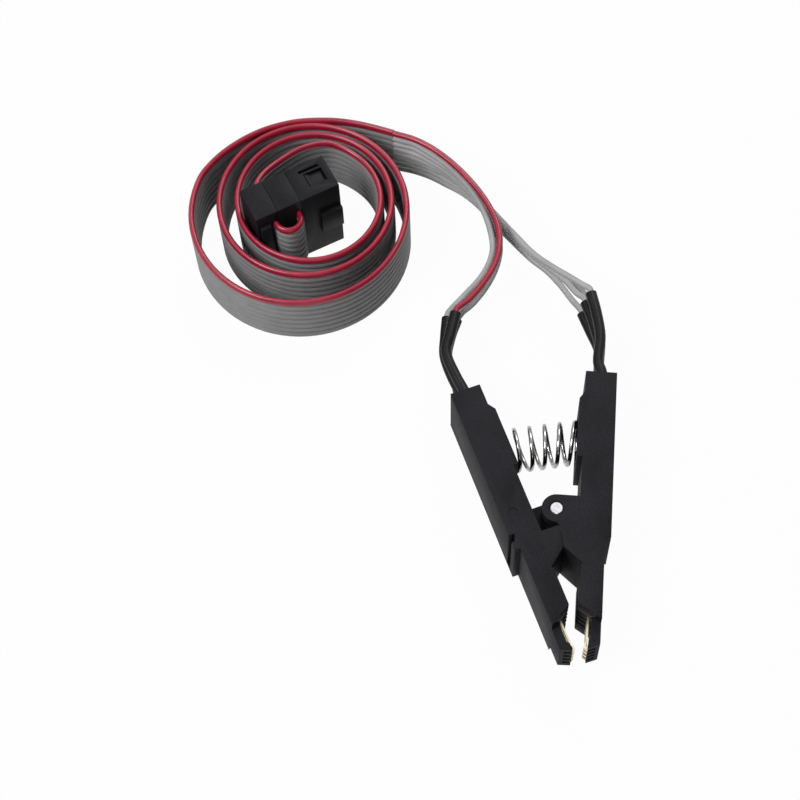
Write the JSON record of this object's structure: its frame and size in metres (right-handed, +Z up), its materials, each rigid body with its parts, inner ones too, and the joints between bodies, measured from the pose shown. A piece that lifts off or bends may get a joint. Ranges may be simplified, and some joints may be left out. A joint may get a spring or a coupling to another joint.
{
  "type": "ic test clip",
  "caption": "Spring-loaded test clip whose two hinged jaws grip a small-outline chip's legs, with a coiled flat cable to a dual-row crimp socket.",
  "frame": {"origin": "on the surface the clip lies on, under the middle of the clip's length, midway between its two arms", "axes": "+Y runs along the clip from the jaws to the handles, +Z is up along the hinge pin, +X points to the right arm"},
  "size_m": [0.0573, 0.0863, 0.0147],
  "materials": {
    "black_nylon": "fine spark-eroded texture",
    "black_pbt": "smooth moulded",
    "gold_plate": "gold flash on sprung bronze",
    "steel": "bright nickel plate",
    "heat_shrink": "satin",
    "grey_pvc": "soft PVC",
    "red_pvc": "soft PVC"
  },
  "bodies": {
    "left": {"left_arm": "black_nylon", "left_cover": "black_nylon", "pivot_pin": "steel", "spring": "steel", "contact_left_1": "gold_plate", "contact_left_2": "gold_plate", "contact_left_3": "gold_plate", "contact_left_4": "gold_plate", "sleeve_left_1": "heat_shrink", "sleeve_left_2": "heat_shrink", "sleeve_left_3": "heat_shrink", "sleeve_left_4": "heat_shrink", "wire_left_1": "grey_pvc", "wire_left_2": "grey_pvc", "wire_left_3": "grey_pvc", "wire_left_4": "red_pvc", "wire_right_1": "grey_pvc", "wire_right_2": "grey_pvc", "wire_right_3": "grey_pvc", "wire_right_4": "grey_pvc", "ribbon": "grey_pvc", "socket_housing": "black_pbt", "socket_cap": "black_pbt", "strain_relief": "black_pbt", "socket_contact_1": "gold_plate", "socket_contact_2": "gold_plate", "socket_contact_3": "gold_plate", "socket_contact_4": "gold_plate", "socket_contact_5": "gold_plate", "socket_contact_6": "gold_plate", "socket_contact_7": "gold_plate", "socket_contact_8": "gold_plate"},
    "right": {"right_arm": "black_nylon", "right_cover": "black_nylon", "contact_right_1": "gold_plate", "contact_right_2": "gold_plate", "contact_right_3": "gold_plate", "contact_right_4": "gold_plate", "sleeve_right_1": "heat_shrink", "sleeve_right_2": "heat_shrink", "sleeve_right_3": "heat_shrink", "sleeve_right_4": "heat_shrink"}
  },
  "joints": [
    {"name": "clip_hinge", "type": "hinge", "parent": "left", "child": "right", "pos_m": [0, -0.00022, 0.005], "axis": [0, 0, 1], "range_deg": [0, 20], "stiffness_Nm_per_rad": 0.025, "springref_deg": -28.65, "deforming": ["spring", "wire_right_1", "wire_right_2", "wire_right_3", "wire_right_4"]}
  ]
}
